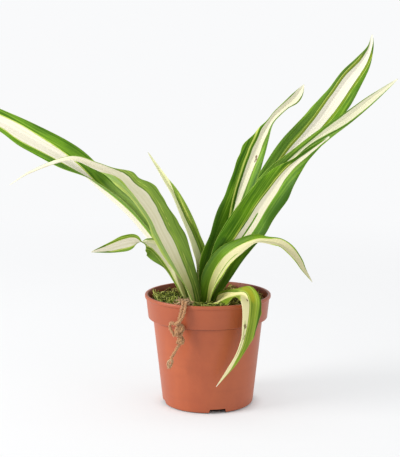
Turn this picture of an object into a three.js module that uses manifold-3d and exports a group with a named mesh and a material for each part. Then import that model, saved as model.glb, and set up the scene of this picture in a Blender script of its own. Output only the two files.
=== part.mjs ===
// Potted spider plant: a striped, arching rosette in a small moulded nursery pot, with a knotted
// piece of jute twine over the rim. Millimetres, +Z up, origin at the middle of the pot's foot.
// -Y is the front of the plant, +X its right side.
import * as THREE from "three";
import { mergeVertices } from "three/addons/utils/BufferGeometryUtils.js";
import Module from "manifold-3d";

// Pot
const rimRadius = 45;
const potHeight = 79.6;
const lipHeight = 2.6;
const lipStep = 0.9;
const collarHeight = 17;
const collarTaper = 1.5;
const bodyTopRadius = 39.2;
const footRadius = 32.6;
const footRound = 3.2;
const wall = 1.2;
const floorThickness = 1.8;
const potSides = 60;
const notchWidth = 12;
const notchHeight = 3.4;
const notchDepth = 7;
const notchCount = 4;
const firstNotchAngle = -80;

// Filling
const seat = 0.3;
const soilTop = 72;
const soilBumps = 0.7;
const crownRadius = 15.5;
const crownTop = 69.9;
const crownBottom = 52;
const mossInner = 19.5;
const mossOuter = 40.6;
const mossThickness = 1.6;
const mossSeat = 0.6;
const strandSink = 0.3;

// Leaves
const bladeThickness = 0.8;
const tipThickness = 0.6;
const bladeSteps = 28;
const baseHeight = 70.5;
const edgeWave = 0.9;

// Twine
const twineLane = -16.5;
const twineDiameter = 2.2;
const twineSides = 8;

const wasm = await Module();
wasm.setup();

const group = new THREE.Group();

function finish(color, roughness) {
  return new THREE.MeshStandardMaterial({ color, roughness, metalness: 0 });
}

const potFinish = finish("#b5654a", 0.45);
const soilFinish = finish("#3b2a20", 0.95);
const mossFinish = finish("#5c7a2e", 0.95);
const dryMossFinish = finish("#7a5a3a", 0.95);
const crownFinish = finish("#8a9a5a", 0.6);
const leafFinish = finish("#5f8a33", 0.4);
const twineFinish = finish("#c6a37a", 0.9);

function addMesh(name, geometry, material) {
  const mesh = new THREE.Mesh(geometry, material);
  mesh.name = name;
  group.add(mesh);
  return mesh;
}

// Closed geometry to solid and back, for joins and cuts.
function toSolid(geometry) {
  const bare = geometry.clone();
  bare.deleteAttribute("normal");
  bare.deleteAttribute("uv");
  const merged = mergeVertices(bare, 1e-4);
  const count = merged.attributes.position.count;
  const index = merged.index ? merged.index.array : Uint32Array.from({ length: count }, (_, i) => i);
  const mesh = new wasm.Mesh({
    numProp: 3,
    vertProperties: new Float32Array(merged.attributes.position.array),
    triVerts: new Uint32Array(index),
  });
  return new wasm.Manifold(mesh);
}

function toGeometry(solid) {
  const mesh = solid.getMesh();
  const geometry = new THREE.BufferGeometry();
  geometry.setAttribute("position", new THREE.BufferAttribute(new Float32Array(mesh.vertProperties), 3));
  geometry.setIndex(new THREE.BufferAttribute(new Uint32Array(mesh.triVerts), 1));
  return geometry;
}

function lathe(profile, sides) {
  const points = profile.map(([radius, height]) => new THREE.Vector2(radius, height));
  return new THREE.LatheGeometry(points, sides).rotateX(Math.PI / 2);
}

// Repeatable random numbers from 0 to 1.
function seededRandom(seed) {
  let state = seed;
  return () => {
    state = (state * 1664525 + 1013904223) % 4294967296;
    return state / 4294967296;
  };
}

// Low lumps that cover the filling, from -1 to 1.
function lumps(x, y) {
  return (Math.sin(x * 0.31 + 1.3) * Math.cos(y * 0.27) + Math.sin(x * 0.17 - y * 0.41)) / 2;
}

// ---- Pot -------------------------------------------------------------------------------------

const collarBottom = potHeight - collarHeight;
const collarTopRadius = rimRadius - lipStep;
const collarEdgeRadius = collarTopRadius - collarTaper;

// Radius of the pot's outer wall under the collar.
function bodyRadius(height) {
  return THREE.MathUtils.lerp(footRadius, bodyTopRadius, height / collarBottom);
}

// Radius of the inside of the collar.
function collarInside(height) {
  const share = (height - collarBottom) / collarHeight;
  return THREE.MathUtils.lerp(collarEdgeRadius, collarTopRadius, share) - wall;
}

function makePot() {
  const innerFoot = bodyRadius(footRound) - wall;
  const profile = [
    [0, 0],
    [footRadius - footRound, 0],
    [footRadius - footRound * 0.35, footRound * 0.2],
    [footRadius - footRound * 0.02, footRound * 0.6],
    [bodyRadius(footRound * 1.3), footRound * 1.3],
    [bodyTopRadius, collarBottom],
    [collarEdgeRadius - 0.9, collarBottom],
    [collarEdgeRadius - 0.2, collarBottom + 0.4],
    [collarEdgeRadius + 0.1, collarBottom + 1.4],
    [collarTopRadius, potHeight - lipHeight],
    [rimRadius - 0.3, potHeight - lipHeight + 0.3],
    [rimRadius, potHeight - lipHeight + 0.9],
    [rimRadius, potHeight - 0.7],
    [rimRadius - 0.6, potHeight],
    [collarTopRadius - wall + 0.5, potHeight],
    [collarTopRadius - wall, potHeight - 0.6],
    [collarEdgeRadius - wall, collarBottom + wall + 0.6],
    [bodyTopRadius - wall, collarBottom + wall],
    [innerFoot, footRound + floorThickness],
    [innerFoot - 1.2, floorThickness],
    [0, floorThickness],
  ];
  let pot = toSolid(lathe(profile, potSides));
  const halfTop = notchWidth / 2 - 0.5;
  const halfBottom = notchWidth / 2 + 0.5;
  const outline = new THREE.Shape();
  outline.moveTo(-halfBottom, -1);
  outline.lineTo(halfBottom, -1);
  outline.lineTo(halfTop, notchHeight);
  outline.lineTo(-halfTop, notchHeight);
  outline.closePath();
  for (let i = 0; i < notchCount; i += 1) {
    const angle = firstNotchAngle + (360 / notchCount) * i;
    const cut = new THREE.ExtrudeGeometry(outline, { depth: notchDepth + 4, bevelEnabled: false });
    cut.rotateX(Math.PI / 2);
    cut.translate(0, -(footRadius - notchDepth), 0);
    cut.rotateZ(THREE.MathUtils.degToRad(angle + 90));
    pot = pot.subtract(toSolid(cut));
  }
  addMesh("pot", toGeometry(pot), potFinish);
}

// ---- Filling -----------------------------------------------------------------------------------

// A ring of grid points swept round the axis, with its own height formula on the top.
function roundSlab(innerRadius, outerRadius, start, sweep, rings, spokes, topAt, bottomAt) {
  const positions = [];
  const index = [];
  const rows = spokes + 1;
  const columns = rings + 1;
  for (const side of [topAt, bottomAt]) {
    for (let j = 0; j < rows; j += 1) {
      const angle = start + (sweep * j) / spokes;
      for (let i = 0; i < columns; i += 1) {
        const radius = THREE.MathUtils.lerp(innerRadius, outerRadius, i / rings);
        const x = radius * Math.cos(angle);
        const y = radius * Math.sin(angle);
        positions.push(x, y, side(x, y, i / rings, j / spokes));
      }
    }
  }
  const at = (side, j, i) => side * rows * columns + j * columns + i;
  const quad = (a, b, c, d) => index.push(a, b, c, a, c, d);
  for (let j = 0; j < spokes; j += 1) {
    for (let i = 0; i < rings; i += 1) {
      quad(at(0, j, i), at(0, j, i + 1), at(0, j + 1, i + 1), at(0, j + 1, i));
      quad(at(1, j, i), at(1, j + 1, i), at(1, j + 1, i + 1), at(1, j, i + 1));
    }
    quad(at(0, j, 0), at(0, j + 1, 0), at(1, j + 1, 0), at(1, j, 0));
    quad(at(0, j, rings), at(1, j, rings), at(1, j + 1, rings), at(0, j + 1, rings));
  }
  for (let i = 0; i < rings; i += 1) {
    quad(at(0, 0, i), at(1, 0, i), at(1, 0, i + 1), at(0, 0, i + 1));
    quad(at(0, spokes, i), at(0, spokes, i + 1), at(1, spokes, i + 1), at(1, spokes, i));
  }
  const geometry = new THREE.BufferGeometry();
  geometry.setAttribute("position", new THREE.BufferAttribute(new Float32Array(positions), 3));
  geometry.setIndex(index);
  return geometry;
}

// Potting soil: fills the pot, lumpy on top, with a plain hole for the crown.
function makeSoil() {
  const bottom = floorThickness + seat;
  const bodyTop = collarBottom + wall;
  const profile = [
    [0, bottom],
    [bodyRadius(0) - wall - 1.8, bottom],
    [bodyRadius(footRound + 2) - wall - seat, footRound + floorThickness + 1],
    [bodyTopRadius - wall - seat, bodyTop - 0.4],
    [bodyTopRadius - wall - seat, bodyTop + seat + 0.7],
    [collarInside(bodyTop) - seat - 0.2, bodyTop + seat + 0.8],
    [collarInside(soilTop) - seat - 0.2, soilTop - 0.8],
    [collarTopRadius - wall - 3, soilTop],
    [33, soilTop],
    [27, soilTop],
    [21, soilTop],
    [0, soilTop],
  ];
  const geometry = mergeVertices(stripped(lathe(profile, potSides)), 1e-4);
  const position = geometry.attributes.position;
  for (let i = 0; i < position.count; i += 1) {
    if (position.getZ(i) > soilTop - 0.1) {
      const lift = lumps(position.getX(i), position.getY(i)) * soilBumps;
      position.setZ(i, soilTop + lift);
    }
  }
  const hole = new THREE.CylinderGeometry(crownRadius + seat, crownRadius + seat, 40, 40);
  hole.rotateX(Math.PI / 2);
  hole.translate(crownX, crownY, crownBottom - seat + 20);
  addMesh("soil", toGeometry(toSolid(geometry).subtract(toSolid(hole))), soilFinish);
}

function stripped(geometry) {
  geometry.deleteAttribute("normal");
  geometry.deleteAttribute("uv");
  return geometry;
}

// Short fleshy rootstock that all the leaves stand on.
const crownX = -3;
const crownY = 0;

function makeCrown() {
  const profile = [
    [0, crownBottom],
    [crownRadius * 0.45, crownBottom],
    [crownRadius * 0.8, crownBottom + 6],
    [crownRadius, crownBottom + 13],
    [crownRadius, crownTop],
    [0, crownTop],
  ];
  const crown = addMesh("crown", lathe(profile, 32), crownFinish);
  crown.position.set(crownX, crownY, 0);
}

// Moss: a thin lumpy pad on the soil with bent strands that stand out of it.
function makeMoss(name, material, startDegrees, sweepDegrees, strandCount, seed) {
  const start = THREE.MathUtils.degToRad(startDegrees);
  const sweep = THREE.MathUtils.degToRad(sweepDegrees);
  const bottomAt = (x, y) => soilTop + lumps(x, y) * soilBumps + mossSeat;
  const topAt = (x, y, across, along) => {
    const edge = Math.min(1, 6 * Math.min(across, 1 - across, along, 1 - along) + 0.35);
    return bottomAt(x, y) + mossThickness * edge * (0.8 + 0.4 * Math.sin(x * 0.9) * Math.cos(y * 0.8));
  };
  let moss = toSolid(roundSlab(mossInner, mossOuter, start, sweep, 6, 22, topAt, bottomAt));
  const random = seededRandom(seed);
  for (let i = 0; i < strandCount; i += 1) {
    const angle = start + sweep * (0.05 + 0.9 * random());
    const radius = mossInner + 2.5 + (mossOuter - mossInner - 7) * random();
    const heading = random() * Math.PI * 2;
    const reach = 3 + 3 * random();
    const rise = 1.6 + 1.6 * random();
    const footX = radius * Math.cos(angle);
    const footY = radius * Math.sin(angle);
    const foot = new THREE.Vector3(footX, footY, bottomAt(footX, footY) + strandSink);
    if (!(Math.abs(foot.x - twineLane) < 9 && foot.y < -15)) {
      moss = moss.add(toSolid(strand(foot, heading, reach, rise)));
    }
  }
  addMesh(name, toGeometry(moss), material);
}

// One bent three-sided strand that rises from its foot and nods over.
function strand(foot, heading, reach, rise) {
  const width = 0.55;
  const out = new THREE.Vector3(Math.cos(heading), Math.sin(heading), 0);
  const side = new THREE.Vector3(-Math.sin(heading), Math.cos(heading), 0);
  const positions = [];
  const steps = 3;
  for (let i = 0; i < steps; i += 1) {
    const t = i / steps;
    const centre = foot.clone().addScaledVector(out, reach * t);
    centre.z += rise * Math.sin(t * 2.2);
    const half = width * (1 - 0.6 * t);
    const left = centre.clone().addScaledVector(side, -half);
    const right = centre.clone().addScaledVector(side, half);
    const top = centre.clone().add(new THREE.Vector3(0, 0, half * 1.4));
    positions.push(...left.toArray(), ...right.toArray(), ...top.toArray());
  }
  const tip = foot.clone().addScaledVector(out, reach);
  tip.z += rise * Math.sin(2.2);
  positions.push(...tip.toArray());
  const index = [0, 2, 1];
  for (let i = 0; i < steps - 1; i += 1) {
    for (let k = 0; k < 3; k += 1) {
      const a = i * 3 + k;
      const b = i * 3 + ((k + 1) % 3);
      index.push(a, b, a + 3, b, b + 3, a + 3);
    }
  }
  const last = (steps - 1) * 3;
  for (let k = 0; k < 3; k += 1) {
    index.push(last + k, last + ((k + 1) % 3), steps * 3);
  }
  const geometry = new THREE.BufferGeometry();
  geometry.setAttribute("position", new THREE.BufferAttribute(new Float32Array(positions), 3));
  geometry.setIndex(index);
  return geometry;
}

// ---- Leaves ------------------------------------------------------------------------------------
// A leaf is a channelled blade along a spine. Each row of a leaf is a place on the spine, from the
// crown to the tip: x, y, z, width of the left and the right half, twist and fold in degrees.
// A twist of 0 has the upper side facing up and inwards. The fold is how far each half rises.
// "heading" is the compass direction that the leaf leans to: 0 is the right, 180 the left.

const leaves = {
  leaf_far_left: {
    heading: 180,
    wave: 1,
    rows: [
      [-14, 1, baseHeight, 3.6, 3.6, -5, 55],
      [-21, 3, 88, 7.5, 7.5, -12, 55],
      [-38, 4, 112, 9.5, 9.5, -15, 55],
      [-56, 6, 134, 10.5, 10.5, -15, 55],
      [-79, 9, 155, 11, 11, -28, 48],
      [-98, 12, 173, 11.5, 12, -65, 28],
      [-127, 18, 189, 9, 11, -78, 20],
      [-150, 23, 201, 6.8, 8.5, -78, 18],
      [-176, 29, 211, 6.5, 7, -70, 16],
      [-195, 33, 214, 5, 5, -55, 16],
      [-213, 37, 213, 0.4, 0.4, -45, 10],
    ],
  },
  leaf_mid_left: {
    heading: 180,
    wave: 1,
    rows: [
      [-10, -9, baseHeight, 3.6, 3.6, -30, 50],
      [-16, -11, 88, 7.5, 8, -40, 38],
      [-28, -14, 114, 11, 14, -45, 28],
      [-34, -16, 126, 11.5, 15.5, -45, 28],
      [-39, -18, 137, 11.5, 13, -45, 28],
      [-47, -21, 149, 11.5, 12.5, -45, 28],
      [-57, -24, 160, 10, 12, -45, 28],
      [-66, -26, 168, 6, 4.5, -50, 25],
      [-76, -29, 173, 3.5, 3, -50, 25],
      [-94, -33, 178, 3, 3, -30, 25],
      [-119, -38, 170, 2, 2, -15, 20],
      [-133, -42, 162, 0.4, 0.4, -15, 10],
    ],
  },
  leaf_low_left: {
    heading: 180,
    wave: 0.6,
    rows: [
      [-14.5, -4, baseHeight, 3, 3, 50, 45],
      [-21, -6.5, 89, 4, 5, 80, 35],
      [-26, -8.5, 104, 4, 7, 110, 30],
      [-35, -13, 116, 5, 7.5, 125, 30],
      [-45, -19, 121, 3.5, 3.5, 175, 20],
      [-57, -24, 121, 6, 6.5, 230, 18],
      [-68, -28, 117, 4, 4, 240, 15],
      [-80, -32, 115, 0.4, 0.4, 240, 10],
    ],
  },
  leaf_inner_left: {
    heading: 180,
    wave: 0.6,
    rows: [
      [-8.5, 4, baseHeight, 3, 3, -10, 55],
      [-9, 8, 88, 5.5, 7, -20, 60],
      [-12.5, 13, 110, 9, 10, -25, 62],
      [-19, 20, 133, 7.5, 7.5, -25, 50],
      [-24, 24, 144, 5.5, 4, -30, 45],
      [-29.5, 29, 155, 3.5, 2, -30, 40],
      [-36.5, 34, 166, 2, 1.2, -30, 35],
      [-46, 40, 177, 0.4, 0.4, -30, 10],
    ],
  },
  leaf_spike: {
    heading: 180,
    wave: 0,
    rows: [
      [-5.5, 11, baseHeight, 2, 2, 0, 45],
      [-5.8, 17, 98, 2.2, 2.2, 0, 45],
      [-7, 21, 123, 0.4, 0.4, 0, 10],
    ],
  },
  leaf_upright: {
    heading: 0,
    wave: 0.8,
    rows: [
      [-3.5, 2.5, baseHeight, 3.6, 3.6, 70, 50],
      [3.7, 2, 101, 9, 9, 74, 28],
      [11.5, 1, 124, 10.5, 11, 75, 25],
      [20.5, -2, 147, 11, 10.5, 76, 23],
      [28.5, -5, 170, 11, 10, 76, 22],
      [33, -6, 181, 10, 8, 78, 22],
      [38, -7, 193, 7.5, 6, 80, 25],
      [45, -8, 205.5, 5, 4.5, 80, 30],
      [53, -9, 214, 4.5, 5, 80, 30],
      [61, -10, 221.5, 4, 4.5, 80, 25],
      [65.5, -11, 229.5, 0.4, 0.4, 80, 10],
    ],
  },
  leaf_tall_right: {
    heading: 0,
    wave: 1,
    rows: [
      [0, 12, baseHeight, 3.6, 3.6, 75, 50],
      [10.5, 19, 99, 8.5, 8.5, 80, 25],
      [28, 27, 128.5, 10.5, 11.5, 80, 18],
      [47, 33, 157, 11, 12.5, 80, 15],
      [61, 37, 177, 11.5, 12.5, 80, 15],
      [72.5, 40, 190, 11, 12.5, 80, 15],
      [84, 43, 203, 10, 11.5, 80, 15],
      [93, 46, 216, 8.5, 10.5, 78, 16],
      [102.5, 49, 229, 7, 9, 75, 18],
      [113.5, 52, 242, 6, 6, 72, 22],
      [120, 54, 253, 2.6, 2.6, 70, 25],
      [122, 56, 263, 0.4, 0.4, 70, 10],
    ],
  },
  leaf_broad_right: {
    heading: 0,
    wave: 1,
    rows: [
      [-1, -3.5, baseHeight + 1, 3.6, 3.6, 75, 50],
      [5, -8, 88.5, 8, 8, 88, 25],
      [16, -14, 110.5, 14, 10.5, 82, 22],
      [22.5, -17, 121, 15.5, 11, 82, 18],
      [29.5, -20, 132.5, 15.5, 12, 82, 16],
      [36, -22, 144, 14, 12.5, 82, 16],
      [43.5, -24, 155.5, 12.5, 12.5, 82, 16],
      [51, -25, 166.5, 8.5, 10.5, 82, 16],
      [59.5, -26, 176, 3.2, 7.5, 82, 18],
      [68, -27, 183, 2.4, 4.2, 82, 20],
      [82, -28, 193.5, 0.4, 0.4, 82, 10],
    ],
  },
  leaf_behind_right: {
    heading: 0,
    wave: 0.8,
    rows: [
      [4, 5, baseHeight, 3.4, 3.4, 55, 50],
      [11.5, 10, 100, 8, 8, 66, 30],
      [27.5, 13, 130.5, 10.5, 10.5, 70, 22],
      [46, 13, 158, 9, 10, 70, 18],
      [63, 12, 177.5, 5, 8.5, 70, 18],
      [81, 11, 192, 4, 6.5, 70, 18],
      [98.5, 9, 204.5, 4, 5.4, 70, 18],
      [114.5, 8, 217.5, 3.2, 4.2, 70, 18],
      [133, 6, 231.5, 0.4, 0.4, 70, 10],
    ],
  },
  leaf_arching_right: {
    heading: 0,
    wave: 0.6,
    rows: [
      [2, -9.5, baseHeight + 1, 3.4, 3.4, 40, 50],
      [6.5, -17, 88.5, 6.5, 6.5, 40, 32],
      [10.5, -21, 101, 8.5, 8.5, 38, 22],
      [15.5, -26, 110.5, 9.5, 9, 35, 18],
      [24, -31, 118, 8, 9, 30, 16],
      [32.5, -36, 123, 6, 8.5, 16, 16],
      [40, -40, 124.5, 4.8, 8, 6, 16],
      [48, -43, 123.5, 4.2, 7, 12, 16],
      [55, -46, 119, 4.6, 6.4, 18, 16],
      [61, -48, 113, 4.4, 5, 20, 14],
      [65, -50, 107, 2.8, 3.2, 20, 12],
      [69, -52, 99, 0.4, 0.4, 22, 10],
    ],
  },
  leaf_drooping: {
    heading: -50,
    wave: 0.4,
    rows: [
      [7.5, -8.5, baseHeight, 2.8, 2.8, 0, 45],
      [9.5, -12.5, 79, 3.4, 3.4, 0, 35],
      [13.5, -18, 84.5, 4, 4, 0, 28],
      [18.5, -25, 87.5, 4.6, 4.6, 0, 22],
      [24, -32.5, 87, 6.5, 5.5, 0, 18],
      [27.5, -39.5, 83, 8.5, 6.5, 0, 16],
      [28, -42.5, 75, 9, 7, -5, 16],
      [26.5, -42.5, 65, 8.5, 7, -8, 16],
      [24.5, -42.5, 56, 7.5, 6, -8, 16],
      [20.5, -42.5, 46, 5.5, 5, -8, 16],
      [14.5, -42.5, 36, 3.4, 3.4, -8, 14],
      [5.5, -42.5, 23, 0.4, 0.4, -8, 10],
    ],
  },
};

const across = [-1, -0.5, 0, 0.5, 1];

function makeLeaf(name, leaf) {
  const through = (pick) => {
    const points = leaf.rows.map((row) => new THREE.Vector3(...pick(row)));
    return new THREE.CatmullRomCurve3(points, false, "catmullrom", 0.5);
  };
  const spine = through((row) => [row[0], row[1], row[2]]);
  const halves = through((row) => [row[3], row[4], 0]);
  const angles = through((row) => [row[5], row[6], 0]);
  const heading = THREE.MathUtils.degToRad(leaf.heading);
  const level = new THREE.Vector3(Math.sin(heading), -Math.cos(heading), 0);

  // Middle surface of the blade: one section of points for each step.
  const sections = [];
  for (let i = 0; i <= bladeSteps; i += 1) {
    const t = i / bladeSteps;
    const along = spine.getTangent(t);
    const side = level.clone().addScaledVector(along, -level.dot(along)).normalize();
    const turn = angles.getPoint(t);
    side.applyAxisAngle(along, THREE.MathUtils.degToRad(turn.x));
    const face = side.clone().cross(along);
    const width = halves.getPoint(t);
    const fold = THREE.MathUtils.degToRad(turn.y);
    const section = across.map((v) => {
      const half = Math.max(0.35, v < 0 ? width.x : width.y) * Math.abs(v);
      const steep = Math.min(half, (v < 0 ? width.x : width.y) * 0.5);
      const shallow = half - steep;
      const out = Math.cos(fold * 1.15) * steep + Math.cos(fold * 0.8) * shallow;
      const ripple = leaf.wave * edgeWave * Math.sin(t * 17 + (v < 0 ? 0 : 2)) * Math.abs(v) ** 3;
      const taper = Math.min(1, width.x / 6, (1 - t) * 5);
      const rise = Math.sin(fold * 1.15) * steep + Math.sin(fold * 0.8) * shallow + ripple * taper;
      return spine.getPoint(t).addScaledVector(side, Math.sign(v) * out).addScaledVector(face, rise);
    });
    sections.push(section);
  }

  // The two faces lie half a thickness to each side of it, split into triangles alike.
  const positions = [];
  const columns = across.length;
  for (const hand of [1, -1]) {
    sections.forEach((section, i) => {
      const t = i / bladeSteps;
      const half = (THREE.MathUtils.lerp(bladeThickness, tipThickness, t) / 2) * hand;
      const before = sections[Math.max(0, i - 1)];
      const after = sections[Math.min(bladeSteps, i + 1)];
      section.forEach((point, j) => {
        const along = after[j].clone().sub(before[j]);
        const inward = section[Math.max(0, j - 1)];
        const outward = section[Math.min(columns - 1, j + 1)];
        const normal = outward.clone().sub(inward).cross(along).normalize();
        positions.push(...point.clone().addScaledVector(normal, half).toArray());
      });
    });
  }
  const rows = bladeSteps + 1;
  const at = (side, i, j) => side * rows * columns + i * columns + j;
  const index = [];
  const quad = (a, b, c, d) => index.push(a, b, c, a, c, d);
  for (let i = 0; i < bladeSteps; i += 1) {
    for (let j = 0; j < columns - 1; j += 1) {
      quad(at(0, i, j), at(0, i, j + 1), at(0, i + 1, j + 1), at(0, i + 1, j));
      index.push(at(1, i, j), at(1, i + 1, j + 1), at(1, i, j + 1));
      index.push(at(1, i, j), at(1, i + 1, j), at(1, i + 1, j + 1));
    }
    quad(at(0, i, 0), at(0, i + 1, 0), at(1, i + 1, 0), at(1, i, 0));
    quad(at(0, i, columns - 1), at(1, i, columns - 1), at(1, i + 1, columns - 1), at(0, i + 1, columns - 1));
  }
  for (let j = 0; j < columns - 1; j += 1) {
    quad(at(0, 0, j), at(1, 0, j), at(1, 0, j + 1), at(0, 0, j + 1));
    quad(at(0, bladeSteps, j), at(0, bladeSteps, j + 1), at(1, bladeSteps, j + 1), at(1, bladeSteps, j));
  }
  const geometry = new THREE.BufferGeometry();
  geometry.setAttribute("position", new THREE.BufferAttribute(new Float32Array(positions), 3));
  geometry.setIndex(index);
  addMesh(name, geometry, leafFinish);
}

// ---- Twine -------------------------------------------------------------------------------------
// Two strands come out of the moss, cross over the rim and meet in a knot outside the pot; a small
// bight stands out beside it, and one strand hangs on to a frayed end knot.

const twineRoute = [
  [-18.4, -27, 76],
  [-18.2, -32, 78.6],
  [-18, -36, 80.9],
  [-18, -39.8, 81.5],
  [-18.5, -43, 79.4],
  [-19.3, -42.4, 75.5],
  [-19.2, -42.2, 71.5],
  [-18.4, -42.4, 68],
];
const secondRoute = [
  [-14.6, -27, 76],
  [-14.9, -32, 78.6],
  [-15, -37.4, 81],
  [-15, -41.2, 81.5],
  [-15.5, -44.3, 79.4],
  [-16.4, -44.2, 75.5],
  [-18.2, -45, 71.6],
  [-20.3, -44.9, 68.8],
];
const tailRoute = [
  [-19.8, -42.3, 52.5],
  [-21.2, -42, 50.2],
  [-22.9, -41.6, 47.2],
  [-24.4, -41.2, 44.4],
  [-25.2, -41, 42.6],
];
const bightRoute = [
  [-22.6, -43, 67.2],
  [-24.8, -42, 67.6],
  [-26.6, -40.4, 65.2],
  [-26.2, -40.6, 62],
  [-24.8, -41.4, 59.6],
  [-22.8, -42.4, 57.6],
];
const knots = {
  twine_knot_upper: { at: [-19.3, -42.5, 62.8], size: [3.9, 3.4, 4.4], lean: 20 },
  twine_knot_lower: { at: [-18.9, -42.5, 55.6], size: [3.3, 2.9, 2.6], lean: -25 },
  twine_end: { at: [-26.1, -40.7, 38.8], size: [2, 2, 3.6], lean: 15 },
};

function makeCord(name, route, steps) {
  const points = route.map(([x, y, z]) => new THREE.Vector3(x, y, z));
  const path = new THREE.CatmullRomCurve3(points, false, "centripetal");
  const section = new THREE.Shape();
  for (let k = 0; k < twineSides; k += 1) {
    const angle = (Math.PI * 2 * k) / twineSides;
    const x = (Math.cos(angle) * twineDiameter) / 2;
    const y = (Math.sin(angle) * twineDiameter) / 2;
    if (k === 0) {
      section.moveTo(x, y);
    } else {
      section.lineTo(x, y);
    }
  }
  section.closePath();
  const cord = new THREE.ExtrudeGeometry(section, { steps, extrudePath: path, bevelEnabled: false });
  addMesh(name, cord, twineFinish);
}

// A knot: a core with three turns of twine laid round it.
function makeKnot(name, { at, size, lean }) {
  const core = new THREE.SphereGeometry(0.8, 10, 6);
  let knot = toSolid(core);
  for (const angle of [0, 60, 120]) {
    const turn = new THREE.TorusGeometry(0.72, 0.27, 5, 12);
    turn.rotateX(THREE.MathUtils.degToRad(70));
    turn.rotateY(THREE.MathUtils.degToRad(angle));
    knot = knot.add(toSolid(turn));
  }
  const geometry = toGeometry(knot);
  geometry.scale(...size);
  const mesh = addMesh(name, geometry, twineFinish);
  mesh.position.set(...at);
  mesh.rotation.set(0, THREE.MathUtils.degToRad(lean), 0);
}

// ---- Assembly ----------------------------------------------------------------------------------

makePot();
makeSoil();
makeCrown();
makeMoss("moss_green", mossFinish, 150, 152, 60, 11);
makeMoss("moss_dry", dryMossFinish, -54, 200, 44, 29);
for (const [name, leaf] of Object.entries(leaves)) {
  makeLeaf(name, leaf);
}
makeCord("twine", twineRoute, 11);
makeCord("twine_second", secondRoute, 11);
makeCord("twine_tail", tailRoute, 4);
makeCord("twine_bight", bightRoute, 7);
for (const [name, knot] of Object.entries(knots)) {
  makeKnot(name, knot);
}

export default group;
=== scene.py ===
# Potted spider plant: arching striped leaves in a small moulded nursery pot, moss on the soil and
# a knotted jute twine over the rim. Metres, +Z up, -Y is the front of the plant.
import math
import random

import bpy
import numpy as np
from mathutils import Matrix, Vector


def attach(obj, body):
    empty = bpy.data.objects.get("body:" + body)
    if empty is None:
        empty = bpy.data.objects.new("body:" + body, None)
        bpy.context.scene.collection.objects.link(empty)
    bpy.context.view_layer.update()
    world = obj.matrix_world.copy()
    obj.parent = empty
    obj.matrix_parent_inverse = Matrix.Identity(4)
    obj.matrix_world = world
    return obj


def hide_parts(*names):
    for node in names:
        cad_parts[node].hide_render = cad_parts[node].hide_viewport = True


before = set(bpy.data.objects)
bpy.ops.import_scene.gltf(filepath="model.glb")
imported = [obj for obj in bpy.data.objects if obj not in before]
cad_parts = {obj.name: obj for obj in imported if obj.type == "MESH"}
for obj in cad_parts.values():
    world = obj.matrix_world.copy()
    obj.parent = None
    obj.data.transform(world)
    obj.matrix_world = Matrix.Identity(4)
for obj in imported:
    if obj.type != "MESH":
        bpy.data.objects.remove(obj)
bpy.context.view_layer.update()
mm = 0.001
scene = bpy.context.scene
print("frame loaded:", len(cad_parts), "nodes")


# small helpers for meshes and node trees

def paint(code):  # "#rrggbb" as a linear colour
    parts = [int(code[i:i + 2], 16) / 255 for i in (1, 3, 5)]
    return tuple(c / 12.92 if c <= 0.04045 else ((c + 0.055) / 1.055) ** 2.4 for c in parts) + (1,)


def newFinish(name, roughness, specular=0.5):
    made = bpy.data.materials.new(name)
    made.use_nodes = True
    shader = made.node_tree.nodes["Principled BSDF"]
    shader.inputs["Roughness"].default_value = roughness
    shader.inputs["Specular IOR Level"].default_value = specular
    return made, made.node_tree, shader


def addNode(tree, kind, inputs=None, **settings):
    made = tree.nodes.new(kind)
    for key, value in settings.items():
        setattr(made, key, value)
    for key, value in (inputs or {}).items():
        if isinstance(value, bpy.types.NodeSocket):
            tree.links.new(value, made.inputs[key])
        else:
            made.inputs[key].default_value = value
    return made


def readMark(tree, name, out="Vector"):
    return addNode(tree, "ShaderNodeAttribute", attribute_name=name).outputs[out]


def splitUp(tree, vector):
    return addNode(tree, "ShaderNodeSeparateXYZ", {0: vector}).outputs


def stretch(tree, vector, by):
    return addNode(tree, "ShaderNodeVectorMath", {0: vector, 1: by}, operation="MULTIPLY").outputs[0]


def grain(tree, vector, scale, detail=3, roughness=0.5):
    inputs = {"Vector": vector, "Scale": scale, "Detail": detail, "Roughness": roughness}
    return addNode(tree, "ShaderNodeTexNoise", inputs).outputs[0]


def ramp(tree, value, low, high, toLow=0.0, toHigh=1.0):
    inputs = {0: value, 1: low, 2: high, 3: toLow, 4: toHigh}
    return addNode(tree, "ShaderNodeMapRange", inputs, interpolation_type="SMOOTHSTEP").outputs[0]


def sums(tree, a, b, how="ADD"):
    return addNode(tree, "ShaderNodeMath", {0: a, 1: b}, operation=how).outputs[0]


def tint(tree, share, a, b):
    return addNode(tree, "ShaderNodeMix", {0: share, 6: a, 7: b}, data_type="RGBA").outputs[2]


def layered(tree, base, layers):  # colours laid over a base: what each follows, from, to, its most, its colour
    for follows, start, end, most, colour in layers:
        base = tint(tree, ramp(tree, follows, start, end, 0, most), base, paint(colour))
    return base


def reach(tree, vector):  # the length of a vector
    return addNode(tree, "ShaderNodeVectorMath", {0: vector}, operation="LENGTH").outputs["Value"]


def dress(tree, shader, colour, height, strength, distance):  # colour and relief of a finish
    tree.links.new(colour, shader.inputs["Base Color"])
    made = addNode(tree, "ShaderNodeBump", {"Height": height, "Strength": strength, "Distance": distance})
    tree.links.new(made.outputs[0], shader.inputs["Normal"])


def here(tree):
    return addNode(tree, "ShaderNodeTexCoord").outputs["Object"]


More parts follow.
